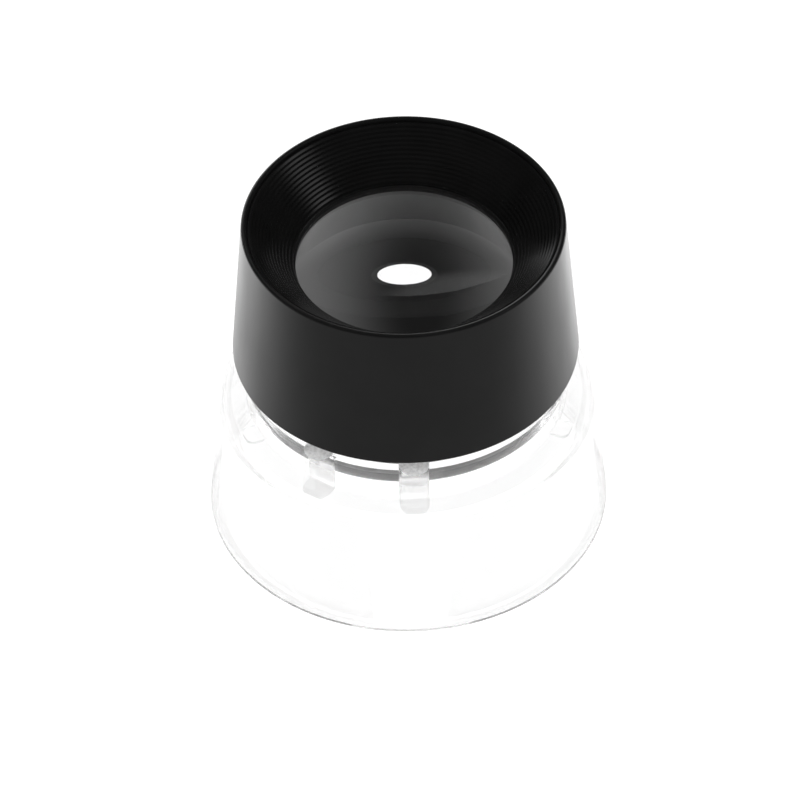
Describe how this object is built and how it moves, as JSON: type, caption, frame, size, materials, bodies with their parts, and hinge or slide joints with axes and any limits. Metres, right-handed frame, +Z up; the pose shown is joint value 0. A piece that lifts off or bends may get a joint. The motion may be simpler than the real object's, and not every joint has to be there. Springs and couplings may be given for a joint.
{
  "type": "viewing loupe",
  "caption": "Stand loupe: black screw-focus lens head with a ridged eyecup and two lenses on a clear conical base for looking at film, slides and prints.",
  "frame": {"origin": "centre of the clear base's bottom ring, on the plane it rests on", "axes": "+Z up along the optical axis to the eyecup; -Y towards the viewer"},
  "size_m": [0.05, 0.05, 0.046],
  "materials": {
    "clear_acrylic": "polished water-clear acrylic",
    "gloss_black": "satin-gloss moulded black plastic",
    "eyecup_black": "gloss black with fine turned rings",
    "barrel_black": "fine matt black",
    "lens_glass": "polished optical lens",
    "spacer_black": "matt black",
    "ring_black": "matt black"
  },
  "bodies": {
    "base": {"clear_base": "clear_acrylic"},
    "lens_stack": {"eye_lens": "lens_glass", "lens_spacer": "spacer_black", "field_lens": "lens_glass"},
    "head": {"outer_sleeve": "gloss_black", "eyecup": "eyecup_black", "lens_barrel": "barrel_black", "retaining_ring": "ring_black"}
  },
  "joints": [
    {"name": "focus_lift", "type": "slide", "parent": "base", "child": "lens_stack", "axis": [0, 0, 1], "range_m": [-0.00121, 0.00151]},
    {"name": "focus_turn", "type": "hinge", "parent": "lens_stack", "child": "head", "pos_m": [0, 0, 0.023], "axis": [0, 0, 1], "range_deg": [-36, 45]}
  ],
  "couplings": [
    {"joint": "focus_lift", "follows": "focus_turn", "m_per_rad": 0.0019099}
  ]
}
